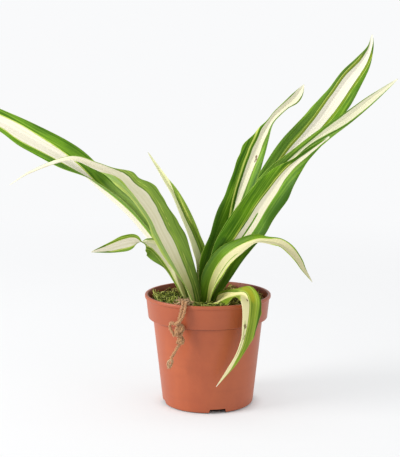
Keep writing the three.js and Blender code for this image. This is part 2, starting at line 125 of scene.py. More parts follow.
def newPiece(name, points, faces, finish, nodes=(), marks=None):
    mesh = bpy.data.meshes.new(name)
    mesh.from_pydata([tuple(p) for p in points], [], faces)
    mesh.shade_smooth()
    for label, values in (marks or {}).items():
        values = np.asarray(values, np.float32)
        vector = values.ndim == 2
        layer = mesh.attributes.new(label, "FLOAT_VECTOR" if vector else "FLOAT", "POINT")
        layer.data.foreach_set("vector" if vector else "value", values.ravel())
    mesh.materials.append(finish)
    piece = bpy.data.objects.new(name, mesh)
    scene.collection.objects.link(piece)
    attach(piece, "root")
    if nodes:
        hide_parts(*nodes)
    return piece


def around(radius, angle):
    return radius * math.cos(angle), radius * math.sin(angle)


def unit(vectors):
    return vectors / np.maximum(np.linalg.norm(vectors, axis=-1, keepdims=True), 1e-12)


def through(rows, share):  # smooth curve through rows of numbers, at shares from 0 to 1
    rows = np.asarray(rows, float)
    place = np.asarray(share) * (len(rows) - 1)
    k = np.minimum(place.astype(int), len(rows) - 2)
    w = (place - k)[:, None]
    padded = np.vstack([2 * rows[0] - rows[1], rows, 2 * rows[-1] - rows[-2]])
    a, b, c, d = padded[k], padded[k + 1], padded[k + 2], padded[k + 3]
    m, n = (c - a) / 2, (d - b) / 2
    return b + m * w + (-3 * b + 3 * c - 2 * m - n) * w ** 2 + (2 * b - 2 * c + m + n) * w ** 3


def runAlong(line):  # how far along a line each of its points is
    return np.concatenate([[0], np.cumsum(np.linalg.norm(np.diff(line, axis=0), axis=1))])


def evenly(route, step):  # the same curve with its points a step apart
    fine = through(route, np.linspace(0, 1, 60 * len(route)))
    run = runAlong(fine)
    want = np.linspace(0, run[-1], max(4, int(round(run[-1] / step)) + 1))
    return np.stack([np.interp(want, run, fine[:, i]) for i in range(3)], 1)


def ringFrames(line):  # two directions across a line that don't spin along it
    along = unit(np.gradient(line, axis=0))
    first = np.cross(along[0], [0, 0, 1.0])
    if np.linalg.norm(first) < 0.2:
        first = np.cross(along[0], [1.0, 0, 0])
    sides = [first / np.linalg.norm(first)]
    for direction in along[1:]:
        side = sides[-1] - direction * np.dot(sides[-1], direction)
        sides.append(side / np.linalg.norm(side))
    sides = np.array(sides)
    return sides, np.cross(along, sides)


def addTube(tubes, line, radii, count, tone):  # a closed tube of rings, added to the tubes of one piece
    points, faces, tones = tubes
    sides, ups = ringFrames(line)
    turn = np.linspace(0, 2 * math.pi, count, endpoint=False)
    rings = (line[:, None] + radii[:, None, None]
             * (np.cos(turn)[None, :, None] * sides[:, None] + np.sin(turn)[None, :, None] * ups[:, None]))
    start = len(points)
    points.extend(rings.reshape(-1, 3))
    tones.extend([tone] * (len(points) - start))
    for i in range(len(line) - 1):
        for k in range(count):
            a, b = start + i * count + k, start + i * count + (k + 1) % count
            faces.append((a, b, b + count, a + count))
    faces.append(tuple(range(start + count - 1, start - 1, -1)))
    end = start + (len(line) - 1) * count
    faces.append(tuple(range(end, end + count)))


def tubePiece(name, tubes, finish, nodes=()):
    points, faces, tones = tubes
    return newPiece(name, np.array(points) * mm, faces, finish, nodes, {"tone": tones})


# camera

cameraSet = {
    "place": (-5.6, -790.8, 247.6),
    "target": (-5.61, 0, 126.32),
    "lens": 88.8,
}


def makeCamera():
    lens = bpy.data.cameras.new("camera")
    lens.lens = cameraSet["lens"]
    lens.clip_start = 0.01
    lens.dof.use_dof = False
    made = bpy.data.objects.new("camera", lens)
    place, target = Vector(cameraSet["place"]) * mm, Vector(cameraSet["target"]) * mm
    made.location = place
    made.rotation_euler = (target - place).to_track_quat("-Z", "Y").to_euler()
    scene.collection.objects.link(made)
    scene.camera = made


makeCamera()

# twine

twine = {
    "diameter": 2.2,
    "lay": 6.2,  # length of one turn of the two plies
    "step": 0.35,
    "sides": 9,
    "first": [
        (-18.4, -27, 76), (-17.9, -32, 78.6), (-17.3, -36, 80.9), (-17.2, -39.8, 81.5), (-17.6, -43.1, 79.4),
        (-18.4, -43.4, 75.5), (-19.6, -43.6, 71.5), (-19.6, -43, 68),
    ],
    "throughKnots": [(-18.8, -42.5, 63.5), (-18.9, -42.5, 56)],
    "tail": [(-19.8, -42.3, 52.5), (-21.2, -42, 50.2), (-22.9, -41.6, 47.2), (-24.4, -41.2, 44.4), (-25.2, -41, 42.6)],
    "second": [
        (-14.6, -27, 76), (-14.8, -32, 78.6), (-15, -37.4, 81), (-15.1, -41.2, 81.5), (-15.6, -44.5, 79.4),
        (-16.3, -44.6, 75.5), (-18, -45.2, 71.4), (-20.6, -44.9, 68.6),
    ],
    "bight": [
        (-22.6, -43, 67.2), (-24.8, -42, 67.8), (-26.1, -40.8, 66), (-25.8, -40.9, 63.4), (-24.4, -41.6, 61.2),
        (-22.8, -42.4, 58.6),
    ],
    "knots": [
        {"name": "knotUpper", "node": "twine_knot_upper", "at": (-20, -42.6, 62.8), "size": (4.1, 3.1, 5.4),
         "lean": 16, "turns": 4, "seed": 31},
        {"name": "knotLower", "node": "twine_knot_lower", "at": (-19, -42.5, 55.4), "size": (3.6, 2.8, 3.4),
         "lean": -30, "turns": 3, "seed": 32},
    ],
    "knotFibres": 260,
    "end": {"at": (-26.1, -40.7, 38.8), "top": (-25.3, -41, 42.4), "length": 7.4, "fibres": 80, "split": 1.35},
    "tangle": {"at": ((-16.6, 2.6), (-35, 2.2), (80.6, 0.9)), "curl": (2, 1.5, 0.8), "fibres": 46},  # middle and spread
}


def makeTwineFinish():
    made, tree, shader = newFinish("juteTwine", 0.85, 0.25)
    place = here(tree)
    tone = readMark(tree, "tone", "Fac")
    fibre = grain(tree, stretch(tree, place, (1, 1, 0.4)), 2600, 4, 0.7)
    blotch = grain(tree, place, 320, 2)
    base = tint(tree, ramp(tree, fibre, 0.3, 0.7), paint("#8a5a39"), paint("#cda173"))
    base = layered(tree, base, ((blotch, 0.35, 0.75, 0.5, "#93654a"), (tone, 0.0, 1.0, 0.75, "#f0d6b0")))
    dress(tree, shader, base, fibre, 0.7, 0.0003)
    return made


twineFinish = makeTwineFinish()


def layCord(tubes, line, radius, phase, rng, hairs):
    sides, ups = ringFrames(line)
    run = runAlong(line)
    for ply in (0, 1):  # two plies wound round each other
        turn = run / twine["lay"] * 2 * math.pi + phase + math.pi * ply
        swell = 1 + 0.1 * np.sin(run * 1.7 + ply * 2 + phase) + 0.05 * np.sin(run * 4.3 + ply)
        centre = line + radius * 0.3 * (np.cos(turn)[:, None] * sides + np.sin(turn)[:, None] * ups)
        addTube(tubes, centre, radius * 0.64 * swell, twine["sides"], 0.12)
    for _ in range(hairs):  # loose fibres that stand out of the lay
        k = rng.randrange(1, len(line) - 1)
        turn = rng.uniform(0, 2 * math.pi)
        out = math.cos(turn) * sides[k] + math.sin(turn) * ups[k]
        along = unit(line[k + 1] - line[k - 1]) * rng.choice((-1, 1))
        start = line[k] + out * radius * 0.75
        long = rng.uniform(0.5, 1.5)
        bend = np.array([start, start + (out * 0.5 + along * 0.6) * long * 0.5,
                         start + (out * 0.75 + along * 1.1) * long * 0.8])
        addTube(tubes, bend, np.array([0.07, 0.06, 0.02]), 3, rng.uniform(0.3, 1))


def makeKnot(name, node, at, size, lean, turns, seed):
    turn = np.linspace(0, 2 * math.pi, 150, endpoint=False)
    strand = twine["diameter"] / 2
    wide = 0.62 + 0.38 * np.cos(turn * (turns + 1))
    shape = np.stack([wide * np.cos(turn * turns), 0.55 * np.sin(turn * (turns + 1)) + 0.25 * np.sin(turn * turns),
                      wide * np.sin(turn * turns)], 1)
    shape = shape + 0.17 * np.stack([np.sin(5 * turn + 1), np.sin(7 * turn + 2), np.sin(6 * turn + seed)], 1)
    shape = shape / np.abs(shape).max(0) * (np.array(size) - strand)
    tilt, (x, y, z) = math.radians(lean), shape.T
    shape = np.stack([math.cos(tilt) * x + math.sin(tilt) * z, y, math.cos(tilt) * z - math.sin(tilt) * x], 1)
    line = shape + at
    tubes = [], [], []
    layCord(tubes, line, strand * 0.85, seed, random.Random(seed), twine["knotFibres"])
    rise = np.linspace(-0.95, 0.95, 15)
    core = np.array(at) + np.array([[0.3, 0, 1]]) * (rise * size[2] * 0.62)[:, None]
    addTube(tubes, core, size[1] * 0.62 * np.sqrt(1 - rise ** 2), 14, 0.1)
    return tubePiece(name, tubes, twineFinish, [node])


def makeFrayedEnd():
    end = twine["end"]
    rng = random.Random(77)
    top, low = np.array(end["top"]), np.array(end["at"])
    down = unit(low - top)
    tubes = [], [], []
    for _ in range(end["fibres"]):
        spread = np.array([rng.gauss(0, 0.4), rng.gauss(0, 0.4), rng.gauss(0, 0.2)])
        part = np.array([rng.choice((-1, 1)) * end["split"], 0, 0.3])  # the end splits into two bundles
        length = end["length"] * rng.uniform(0.75, 1)
        line = np.array([top + spread * 0.5, top + down * length * 0.3 + spread + part * 0.8,
                         top + down * length * 0.62 + spread + part,
                         top + down * length + spread * rng.uniform(0.6, 2) + part * 0.25])
        line = evenly(line, 0.7)
        addTube(tubes, line, np.full(len(line), rng.uniform(0.1, 0.2)), 4, rng.uniform(0, 0.9))
    return tubePiece("twineEnd", tubes, twineFinish, ["twine_end"])


def makeTangle():  # loose jute where the two strands come out of the moss
    tangle = twine["tangle"]
    rng = random.Random(5)
    tubes = [], [], []
    for _ in range(tangle["fibres"]):
        middle = np.array([rng.gauss(at, spread) for at, spread in tangle["at"]])
        line = evenly([middle + [rng.gauss(0, curl) for curl in tangle["curl"]] for _ in range(4)], 0.5)
        addTube(tubes, line, np.full(len(line), rng.uniform(0.09, 0.2)), 4, rng.uniform(0.2, 1))
    return tubePiece("twineTangle", tubes, twineFinish)


def makeTwine():
    knots = [makeKnot(**knot) for knot in twine["knots"]]
    end, tangle = makeFrayedEnd(), makeTangle()
    strands = (
        ("twineStrand", twine["first"] + twine["throughKnots"] + twine["tail"], 3, 420, ["twine", "twine_tail"],
         [*knots, end]),
        ("twineStrandSecond", twine["second"] + twine["bight"], 8, 320, ["twine_second", "twine_bight"], [tangle]),
    )
    for name, route, seed, hairs, nodes, others in strands:
        line = evenly(route, twine["step"])
        tubes = [], [], []
        layCord(tubes, line, twine["diameter"] / 2, seed, random.Random(seed), hairs)
        strand = tubePiece(name, tubes, twineFinish, nodes)
    print("twine laid")


makeTwine()

# pot

pot = {
    "sides": 180,
    # radius, height and rounding of each corner of the wall, from the middle of the foot up and back
    "corners": [
        (0, 0, 0), (32.4, 0, 2.8), (39.2, 62.6, 0.3), (42.55, 62.6, 0.8), (44.1, 76.9, 0.5), (45, 77.4, 0.4),
        (45, 79.6, 0.8), (42.9, 79.6, 0.5), (41.4, 64.4, 0.8), (38, 63.7, 0.8), (31.6, 3.2, 2.2),
        (26, 1.8, 1), (0, 1.8, 0),
    ],
    "arcSteps": 6,
    "notch": {"width": 12, "taper": 0.5, "height": 3.4, "inside": 25.6, "outside": 36.6, "count": 4, "first": -78},
    "sharp": 32,  # edges bent by more than this stay crisp
}


def roundedProfile(corners, steps):
    made = []
    for i, (x, z, bevel) in enumerate(corners):
        corner = np.array([x, z], float)
        if bevel == 0:
            made.append(corner)
            continue
        before = unit(np.array(corners[i - 1][:2], float) - corner)
        after = unit(np.array(corners[i + 1][:2], float) - corner)
        a, b = corner + before * bevel, corner + after * bevel
        for k in range(steps + 1):
            t = k / steps
            made.append(a * (1 - t) ** 2 + corner * 2 * t * (1 - t) + b * t ** 2)
    return np.array(made)


def spun(profile, sides):  # points and faces of a closed profile turned round the axis
    turn = np.linspace(0, 2 * math.pi, sides, endpoint=False)
    inner = profile[1:-1]
    points = [(0, 0, profile[0][1]), (0, 0, profile[-1][1])]
    for r, z in inner:
        points.extend((*around(r, a), z) for a in turn)
    faces = []
    last = 2 + (len(inner) - 1) * sides
    for k in range(sides):
        n = (k + 1) % sides
        faces.append((0, 2 + n, 2 + k))
        faces.append((1, last + k, last + n))
        for i in range(len(inner) - 1):
            a = 2 + i * sides
            faces.append((a + k, a + n, a + sides + n, a + sides + k))
    return points, faces


def makePotFinish():
    made, tree, shader = newFinish("potPlastic", 0.42, 0.5)
    place = here(tree)
    cloud = grain(tree, stretch(tree, place, (1, 1, 0.5)), 38, 4, 0.6)
    fine = grain(tree, place, 900, 3, 0.6)
    flow = grain(tree, stretch(tree, place, (0.35, 0.35, 2.2)), 90, 4, 0.6)
    scuff = grain(tree, stretch(tree, place, (1, 1, 3)), 420, 4, 0.75)
    up = splitUp(tree, place)[2]
    # distance from the collar's lower edge, for the painted shade line under it
    step = addNode(tree, "ShaderNodeMath", {0: sums(tree, up, -0.0619)}, operation="ABSOLUTE").outputs[0]
    base = tint(tree, ramp(tree, cloud, 0.3, 0.72), paint("#a5502d"), paint("#b35b33"))
    base = layered(tree, base, (
        (flow, 0.45, 0.8, 0.3, "#9b4b2c"), (scuff, 0.66, 0.78, 0.25, "#dca487"),
        (up, 0.0622, 0.0628, 0.35, "#98492b"),  # the collar, darker: painted shade, as from the plant above it
        (step, 0.0009, 0.0002, 0.4, "#6b2f19"),  # painted shade: a dark line just under the collar's lower edge
    ))
    across = reach(tree, stretch(tree, place, (1, 1, 0)))
    lean = sums(tree, across, sums(tree, up, -0.103, "MULTIPLY"))  # the collar's inner wall leans by this much
    # painted shade: the inner face of the collar darker
    inner = sums(tree, ramp(tree, lean, 0.0352, 0.0356, 1, 0), ramp(tree, up, 0.0635, 0.0645), "MULTIPLY")
    base = tint(tree, sums(tree, inner, 0.42, "MULTIPLY"), base, paint("#5c250d"))
    # painted shade: inside the foot, round the notches, near black
    recessShade = sums(tree, ramp(tree, across, 0.0312, 0.0322, 1, 0), ramp(tree, up, 0.0033, 0.0036, 1, 0), "MULTIPLY")
    base = tint(tree, recessShade, base, paint("#2a1108"))
    tree.links.new(ramp(tree, cloud, 0.2, 0.8, 0.36, 0.5), shader.inputs["Roughness"])
    dress(tree, shader, base, sums(tree, fine, flow), 0.1, 0.0004)
    return made


def makePot():
    profile = roundedProfile(pot["corners"], pot["arcSteps"])
    points, faces = spun(profile, pot["sides"])
    made = newPiece("potBody", np.array(points) * mm, faces, makePotFinish(), ["pot"])
    notch = pot["notch"]
    top, bottom = notch["width"] / 2 - notch["taper"], notch["width"] / 2 + notch["taper"]
    block = [(0, 3, 2, 1), (4, 5, 6, 7), (0, 1, 5, 4), (1, 2, 6, 5), (2, 3, 7, 6), (3, 0, 4, 7)]
    cutters = []
    for k in range(notch["count"]):
        angle = math.radians(notch["first"] + 360 / notch["count"] * k)
        corners = []
        for r in (notch["inside"], notch["outside"]):
            for w, z in ((-bottom, -1), (bottom, -1), (top, notch["height"]), (-top, notch["height"])):
                x, y = r * math.cos(angle) - w * math.sin(angle), r * math.sin(angle) + w * math.cos(angle)
                corners.append((x * mm, y * mm, z * mm))
        mesh = bpy.data.meshes.new("notchCutter")
        mesh.from_pydata(corners, [], block)
        cutter = bpy.data.objects.new("notchCutter", mesh)
        scene.collection.objects.link(cutter)
        cutters.append(cutter)
        cut = made.modifiers.new("notch", "BOOLEAN")
        cut.object, cut.operation, cut.solver = cutter, "DIFFERENCE", "EXACT"
    bpy.context.view_layer.update()
    finished = bpy.data.meshes.new_from_object(made.evaluated_get(bpy.context.evaluated_depsgraph_get()))
    made.modifiers.clear()
    made.data = finished
    finished.shade_smooth()
    finished.set_sharp_from_angle(angle=math.radians(pot["sharp"]))
    for cutter in cutters:
        bpy.data.objects.remove(cutter)
    print("pot turned")


makePot()

# soil and rootstock

soil = {
    "top": 72,
    "bumps": 0.7,
    "radius": 41.7,
    "sides": [(41, 65.2), (37.6, 64.4), (31.4, 5), (30, 2.4), (0, 2.4)],
    "rings": 42,
    "spokes": 120,
    "crumbs": 2600,
}


def lumps(x, y):
    return (np.sin(x * 0.31 + 1.3) * np.cos(y * 0.27) + np.sin(x * 0.17 - y * 0.41)) / 2


def makeSoilFinish():
    made, tree, shader = newFinish("pottingSoil", 0.95, 0.2)
    place = here(tree)
    crumb = grain(tree, place, 700, 5, 0.7)
    wet = grain(tree, place, 120, 3)
    base = tint(tree, ramp(tree, crumb, 0.35, 0.7), paint("#1c120b"), paint("#4a3423"))
    base = layered(tree, base, [(wet, 0.5, 0.75, 0.6, "#5b4229")])
    dress(tree, shader, base, crumb, 0.9, 0.001)
    return made


def makeSoil():
    rng = random.Random(12)
    rings, spokes = soil["rings"], soil["spokes"]
    points, faces = [], []
    for i in range(rings + 1):
        radius = soil["radius"] * i / rings
        for k in range(spokes):
            angle = 2 * math.pi * k / spokes
            x, y = around(radius, angle)
            rough = 0.35 * math.sin(x * 2.1 + y) * math.sin(y * 1.7 - x * 0.6) + rng.uniform(-0.22, 0.22)
            points.append((x, y, soil["top"] + float(lumps(x, y)) * soil["bumps"] + rough - 0.1))
    for i in range(rings):
        for k in range(spokes):
            a, b = i * spokes + k, i * spokes + (k + 1) % spokes
            faces.append((a, a + spokes, b + spokes, b))
    above = rings * spokes
    for radius, z in soil["sides"]:  # the block goes on down inside the pot
        under = len(points)
        for k in range(spokes):
            angle = 2 * math.pi * k / spokes
            points.append((*around(radius, angle), z))
            n = (k + 1) % spokes
            faces.append((above + k, under + k, under + n, above + n))
        above = under
    for _ in range(soil["crumbs"]):
        radius = soil["radius"] * math.sqrt(rng.random()) * 0.985
        angle = rng.uniform(0, 2 * math.pi)
        x, y = around(radius, angle)
        size = rng.uniform(0.25, 0.95) * rng.uniform(0.6, 1)
        z = soil["top"] + float(lumps(x, y)) * soil["bumps"] + size * 0.3
        start = len(points)
        for dx, dy, dz in ((1, 0, 0), (-1, 0, 0), (0, 1, 0), (0, -1, 0), (0, 0, 1), (0, 0, -1)):
            wobble = size * rng.uniform(0.7, 1.3)
            points.append((x + dx * wobble + rng.uniform(-.1, .1), y + dy * wobble, z + dz * wobble * 0.8))
        for a, b, c in ((0, 2, 4), (2, 1, 4), (1, 3, 4), (3, 0, 4), (2, 0, 5), (1, 2, 5), (3, 1, 5), (0, 3, 5)):
            faces.append((start + a, start + b, start + c))
    newPiece("soilTop", np.array(points) * mm, faces, makeSoilFinish(), ["soil"])
    print("soil filled")


makeSoil()

rootstock = {
    "middle": (-3, 0),
    "profile": [(0, 52), (6, 52.3), (11, 54.5), (14.4, 59), (15.2, 64), (14.2, 68), (10, 69.7), (0, 70)],
    "sides": 48,
}


def makeRootstock():
    profile = through(rootstock["profile"], np.linspace(0, 1, 30))
    profile[0, 0] = profile[-1, 0] = 0
    points, faces = spun(profile, rootstock["sides"])
    points = np.array(points)
    turn = np.arctan2(points[:, 1], points[:, 0])
    swell = 1 + 0.03 * np.sin(5 * turn) + 0.02 * np.sin(points[:, 2] * 1.9)
    points[:, :2] = points[:, :2] * swell[:, None] * 0.97 + np.array(rootstock["middle"])
    made, tree, shader = newFinish("rootstockFlesh", 0.6, 0.3)
    fibre = grain(tree, stretch(tree, here(tree), (1, 1, 0.3)), 420, 4, 0.6)
    base = tint(tree, ramp(tree, fibre, 0.3, 0.7), paint("#8d9a5a"), paint("#d9dcb2"))
    dress(tree, shader, base, fibre, 0.4, 0.0005)
    newPiece("crownFlesh", points * mm, faces, made, ["crown"])
    print("rootstock set")


makeRootstock()

# moss

moss = {
    "green": {"node": "moss_green", "slot": "moss", "start": 146, "sweep": 160, "strands": 760, "seed": 21,
              "climbers": [(165, 7), (171, 5), (178, 9), (183, 6), (186, 8), (191, 10), (196, 6), (203, 7)],
              "dark": "#313a14", "mid": "#7f8a36", "pale": "#cccf76"},
    "dry": {"node": "moss_dry", "slot": "dry_moss", "start": -56, "sweep": 204, "strands": 860, "seed": 43,
            "climbers": [(-8, 3.5), (6, 4.5), (48, 4), (95, 5)],
            "dark": "#3a3216", "mid": "#8a8339", "pale": "#cfc574"},
    "inner": 17.5,
    "outer": 38.6,
    "height": 74.2,
    "sink": 0.22,  # how steeply the pad goes down towards the wall, past its level part
    "level": 32,
    "wallFoot": 36.5,  # where the long strands on the wall start
    "wallHeight": 73.6,
}


def makeMossFinish(name, colours):
    made, tree, shader = newFinish(name, 0.9, 0.2)
    place = here(tree)
    tone = readMark(tree, "tone", "Fac")
    patch = grain(tree, place, 240, 3)
    fine = grain(tree, place, 2400, 3)
    base = tint(tree, ramp(tree, sums(tree, tone, ramp(tree, patch, 0.3, 0.7, -0.3, 0.3)), 0.1, 0.6),
                paint(colours["dark"]), paint(colours["mid"]))
    base = layered(tree, base, ((tone, 0.62, 0.98, 1, colours["pale"]), (fine, 0.5, 0.8, 0.4, colours["dark"])))
    dress(tree, shader, base, fine, 0.6, 0.0002)
    return made


def makeMoss(name, colours):
    rng = random.Random(colours["seed"])
    start, sweep = math.radians(colours["start"]), math.radians(colours["sweep"])
    tubes = [], [], []
    for _ in range(colours["strands"]):
        angle = start + sweep * rng.random()
        radius = moss["inner"] + (moss["outer"] - moss["inner"]) * math.sqrt(rng.random())
        x, y = around(radius, angle)
        heading = rng.uniform(0, 2 * math.pi)
        long, rise = rng.uniform(4, 10), rng.choice((0.6, 1.2, 1.8, 2.4, 4.2)) * rng.uniform(0.6, 1.1)
        sway = rng.uniform(-1.2, 1.2)
        level = moss["height"] + float(lumps(x, y)) * soil["bumps"] + rng.uniform(-1.8, 1.2)
        level -= max(0, radius - moss["level"]) * moss["sink"]
        line = []
        for k in range(6):
            t = k / 5
            bend = heading + sway * t
            px, py = x + long * t * math.cos(bend), y + long * t * math.sin(bend)
            far = math.hypot(px, py)
            if far > moss["outer"]:
                px, py = px * moss["outer"] / far, py * moss["outer"] / far
            line.append((px, py, level + rise * math.sin(t * 2.4) + 0.25 * math.sin(t * 9 + heading)))
        line = np.array(line)
        thick = rng.uniform(0.34, 0.72) * rng.uniform(0.6, 1)
        addTube(tubes, line, thick * np.array([0.8, 1, 1, 0.9, 0.7, 0.3]), 4, rng.random())
        if rng.random() < 0.55:  # small side shoots
            for k in (2, 3, 4):
                turn = heading + rng.choice((-1, 1)) * rng.uniform(0.5, 1.1)
                away = np.array([math.cos(turn), math.sin(turn), rng.uniform(0.1, 0.8)])
                tip = line[k] + away * rng.uniform(0.8, 1.9)
                shoot = np.array([line[k], (line[k] + tip) / 2, tip])
                addTube(tubes, shoot, thick * np.array([0.7, 0.6, 0.25]), 3, rng.uniform(0.3, 1))
    for angle, height in colours["climbers"]:  # long strands that lean on the pot's wall
        foot = np.array([*around(moss["wallFoot"], math.radians(angle)), moss["wallHeight"]])
        head = foot * (1.08, 1.08, 1) + (0, rng.uniform(-2, 2), height)
        line = evenly([foot, foot + (0.3, rng.uniform(-1, 1), height * 0.5), (foot + head * 2) / 3, head], 0.6)
        addTube(tubes, line, np.linspace(0.62, 0.2, len(line)), 5, rng.uniform(0.75, 1))
    tubePiece(name, tubes, makeMossFinish(name, colours), [colours["node"]])


makeMoss("mossGreen", moss["green"])
makeMoss("mossDry", moss["dry"])
print("moss laid")

# leaves
# rows: x, y, z of the spine, the widths of the left and right half, twist and fold.
# stripe: share along the leaf, then the cream band's left and right edge from -1 to 1.
# pins: lines beside the band: side, mm out from its edge, width, kind, strength, and from and to which share.
# bulges: share, side, mm and spread. seam: a green line in the cream: from, to, where across, width.
# spots: share, where across, size. sunny: side, from, to, strength of a lighter green patch, painted light where the
# light falls.
# fresh: how light the left and right half's green is, partly painted light where a half faces the light. mist and
# yellow: tints of the whole leaf. shade: painted shade, the cream of the whole leaf greyer and darker.

baseHeight = 70.5
leaves = {}
leaves["leaf_far_left"] = {
    "heading": 180, "wave": 1,
    "rows": [
        (-14, 1, baseHeight, 3.6, 3.6, -5, 55), (-21, 3, 88, 7.5, 7.5, -12, 55), (-38, 4, 112, 9.5, 9.5, -15, 55),
        (-56, 6, 134, 10.5, 10.5, -15, 55), (-79, 9, 155, 11, 11, -28, 48), (-98, 12, 173, 11.5, 12, -65, 28),
        (-127, 18, 189, 9, 11, -78, 20), (-150, 23, 201, 6.8, 8.5, -78, 18), (-176, 29, 211, 6.5, 7, -70, 16),
        (-195, 33, 214, 5, 5, -55, 16), (-213, 37, 213, 0.4, 0.4, -45, 10),
    ],
    "stripe": [
        (0, -0.4, 0.35), (0.2, -0.5, 0.2), (0.4, -0.5, 0.15), (0.5, -0.5, 0.12), (0.56, -0.52, 0.33),
        (0.62, -0.62, 0.48), (0.7, -0.53, 0.5), (0.85, -0.5, 0.45), (1, -0.6, 0.6),
    ],
    "pins": [(-1, 0, 0.7, "lime", 1), (1, 0, 0.8, "lime", 1), (1, 4.6, 1.4, "lime", 0.35)],
    "fresh": (0.05, 0.05), "shade": 0.25,
    "sunny": [(1, 0.08, 0.4, 0.95)],
    "bulges": [(0.36, 1, 2.4, 0.03), (0.285, 1, -1.2, 0.025), (0.62, -1, 1.0, 0.04), (0.78, 1, 0.8, 0.05)],
}
leaves["leaf_mid_left"] = {
    "heading": 180, "wave": 1,
    "rows": [
        (-10, -9, baseHeight, 3.6, 4.6, -30, 50), (-16, -11, 88, 8.6, 10.8, -40, 38),
        (-28, -14, 114, 13.4, 15.4, -45, 28), (-34, -16, 126, 12.6, 15.5, -45, 28),
        (-39, -18, 137, 11.5, 13, -45, 28), (-47, -21, 149, 11.5, 12.5, -45, 28), (-57, -24, 160, 10, 12, -45, 28),
        (-66, -26, 168, 6, 4.5, -50, 25), (-76, -29, 173, 3.5, 3, -50, 25), (-94, -33, 178, 3.6, 3.4, -30, 25),
        (-119, -38, 170, 2.5, 2.5, -15, 20), (-133, -42, 162, 0.4, 0.4, -15, 10),
    ],
    "stripe": [
        (0, -0.42, 0.4), (0.14, -0.36, 0.38), (0.27, -0.32, 0.38), (0.37, -0.3, 0.46), (0.45, -0.22, 0.5),
        (0.52, 0, 0.5), (0.58, 0.12, 0.6), (0.63, 0, 0.8), (0.68, -0.75, 0.9), (0.72, -1.1, 0.9), (0.85, -1.1, 0.8),
        (1, -1.1, 0.8),
    ],
    "pins": [
        (-1, 0, 0.7, "lime", 1), (-1, 1, 16, "lime", 0.58), (1, 0, 0.5, "deep", 0.7), (1, 0.3, 2.2, "lime", 0.5),
        (1, 2.5, 0.7, "lime", 0.7), (1, 4.4, 12, "deep", 0.58),
    ],
    "fresh": (1, 0.25), "yellow": 0.3,
    "bulges": [(0.52, 1, -1.5, 0.025), (0.455, 1, 2.6, 0.035), (0.4, 1, 1.4, 0.03), (0.19, 1, 0.8, 0.035)],
}
leaves["leaf_low_left"] = {
    "heading": 180, "wave": 0.6,
    "rows": [
        (-14.5, -4, baseHeight, 3, 3, 50, 45), (-21, -6.5, 89, 4, 5, 80, 35), (-26, -8.5, 104, 4, 7, 110, 30),
        (-34.5, -13, 115.5, 5, 9.6, 106, 30), (-41.3, -18, 119.3, 3.4, 6.4, 118, 22),
        (-45.6, -20.5, 120.4, 2.4, 2.6, 180, 18), (-51, -23, 121.3, 5.4, 7.6, 240, 18),
        (-58, -25, 120.3, 6.2, 8.2, 244, 18), (-68, -28.3, 117.6, 4, 4.6, 244, 15),
        (-80, -32, 115, 0.4, 0.4, 244, 10),
    ],
    "stripe": [
        (0, -0.5, 0.4), (0.12, -0.6, 0.5), (0.2, -0.6, 0.6), (0.28, -0.6, 0.38), (0.4, -0.6, 0.35),
        (0.55, -0.55, 0.5), (0.8, -0.6, 0.5), (1, -0.7, 0.6),
    ],
    "pins": [(-1, 0, 0.9, "lime", 1), (1, 0, 0.8, "lime", 1), (1, 1.6, 1.2, "lime", 0.6)],
    "fresh": (0.2, 0), "yellow": 0.2,
    "bulges": [(0.29, 1, 2.4, 0.08)],
}
leaves["leaf_inner_left"] = {
    "heading": 180, "wave": 0.6,
    "rows": [
        (-6, 4, baseHeight, 3, 3, -50, 55), (-4.8, 8, 88, 8, 4, -66, 42), (-3.8, 12, 104, 10.8, 4, -68, 38),
        (-9, 16, 119.4, 8.4, 3.4, -70, 36), (-15.6, 20, 132, 6.2, 4.8, -70, 36), (-23.6, 25, 147, 3.6, 4, -70, 36),
        (-30, 29, 157, 2.9, 2.2, -70, 34), (-36.4, 34, 166, 1.9, 1.5, -60, 30), (-44, 40, 177, 0.4, 0.4, -50, 10),
    ],
    "stripe": [
        (0, -0.9, 0.3), (0.2, -1, 0), (0.27, -1.1, -0.2), (0.38, -1.1, -0.36), (0.5, -1.1, -0.36), (0.62, -1.1, -0.1),
        (0.7, -1.2, 0.5), (0.78, -1.4, 1.4), (1, -1.6, 1.6),
    ],
    "pins": [
        (1, 0, 0.9, "deep", 1), (1, 0.9, 4.2, "lime", 0.75, 0.4, 0.8), (1, 0.9, 4.2, "olive", 0.42, 0.4, 0.8),
        (1, 1, 9, "deep", 0.9, -0.1, 0.4),
    ],
    "fresh": (0.2, 0.2), "mist": 0.8, "yellow": 0.4,
}
leaves["leaf_spike"] = {
    "heading": 180, "wave": 0,
    "rows": [(-5.5, 11, baseHeight, 2, 2, 0, 45), (-5.8, 17, 98, 2.2, 2.2, 0, 45), (-7, 21, 123, 0.4, 0.4, 0, 10)],
    "stripe": [(0, -0.2, 0.2), (1, -0.1, 0.1)],
    "pins": [],
}
